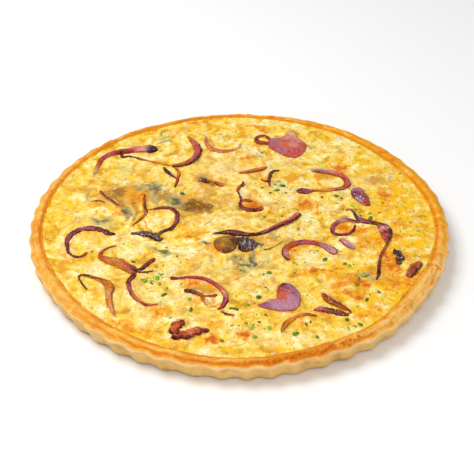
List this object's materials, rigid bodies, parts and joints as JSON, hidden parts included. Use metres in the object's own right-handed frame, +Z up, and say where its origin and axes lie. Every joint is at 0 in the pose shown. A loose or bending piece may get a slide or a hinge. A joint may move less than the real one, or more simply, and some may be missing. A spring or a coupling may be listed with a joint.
{
  "type": "caramelised onion quiche",
  "caption": "Whole shallow savoury tart: fluted shortcrust case, baked egg custard with chopped herbs, and curls and petals of caramelised red onion on top.",
  "frame": {"origin": "middle of the flat foot, on the surface the tart stands on", "axes": "+Z up; -Y is the side nearest the viewer in the picture and +X is to the viewer's right"},
  "size_m": [0.2596, 0.2584, 0.0168],
  "materials": {
    "baked_pastry": "golden baked shortcrust, matte, browner on the rim's inner crease",
    "baked_custard": "creamy yellow baked egg custard with browned patches and green herb flakes, satin",
    "caramelised_onion": "dark maroon to orange-brown cooked red onion, moist sheen",
    "onion_petal": "mauve to brown cooked red onion leaf, moist sheen"
  },
  "bodies": {
    "root": {"pastry_case": "baked_pastry", "custard": "baked_custard", "onion_petal_back": "onion_petal", "onion_petal_right": "onion_petal", "onion_petal_front": "onion_petal", "onion_petal_crescent": "onion_petal", "onion_amber_disc": "onion_petal", "onion_black_fold": "onion_petal", "onion_curl_left": "caramelised_onion", "onion_hook_left": "caramelised_onion", "onion_twist_left": "caramelised_onion", "onion_twist_arm": "caramelised_onion", "onion_twist_tail": "caramelised_onion", "onion_curl_back_left": "caramelised_onion", "onion_strand_back_left": "caramelised_onion", "onion_arc_back_left": "caramelised_onion", "onion_fork_back_left": "caramelised_onion", "onion_smile_back": "caramelised_onion", "onion_ring_back": "caramelised_onion", "onion_brown_strip": "caramelised_onion", "onion_twig_back": "caramelised_onion", "onion_hook_right": "caramelised_onion", "onion_ladle": "caramelised_onion", "onion_long_strip": "caramelised_onion", "onion_thin_centre": "caramelised_onion", "onion_arc_centre": "caramelised_onion", "onion_loop_right": "caramelised_onion", "onion_pale_tail": "caramelised_onion", "onion_arch_right": "caramelised_onion", "onion_tail_right": "caramelised_onion", "onion_charred": "caramelised_onion", "onion_glazed": "caramelised_onion", "onion_stem_left": "caramelised_onion", "onion_ring_left": "caramelised_onion", "onion_clump_dark": "caramelised_onion", "onion_sunken_left": "caramelised_onion", "onion_line_left": "caramelised_onion", "onion_magenta_arc": "caramelised_onion", "onion_fold_front": "caramelised_onion", "onion_tail_front": "caramelised_onion", "onion_chunk_front": "caramelised_onion", "onion_orange_curl": "caramelised_onion", "onion_v_upper": "caramelised_onion", "onion_v_lower": "caramelised_onion", "onion_bit_back": "caramelised_onion", "onion_crumb_back": "caramelised_onion"}
  },
  "joints": []
}
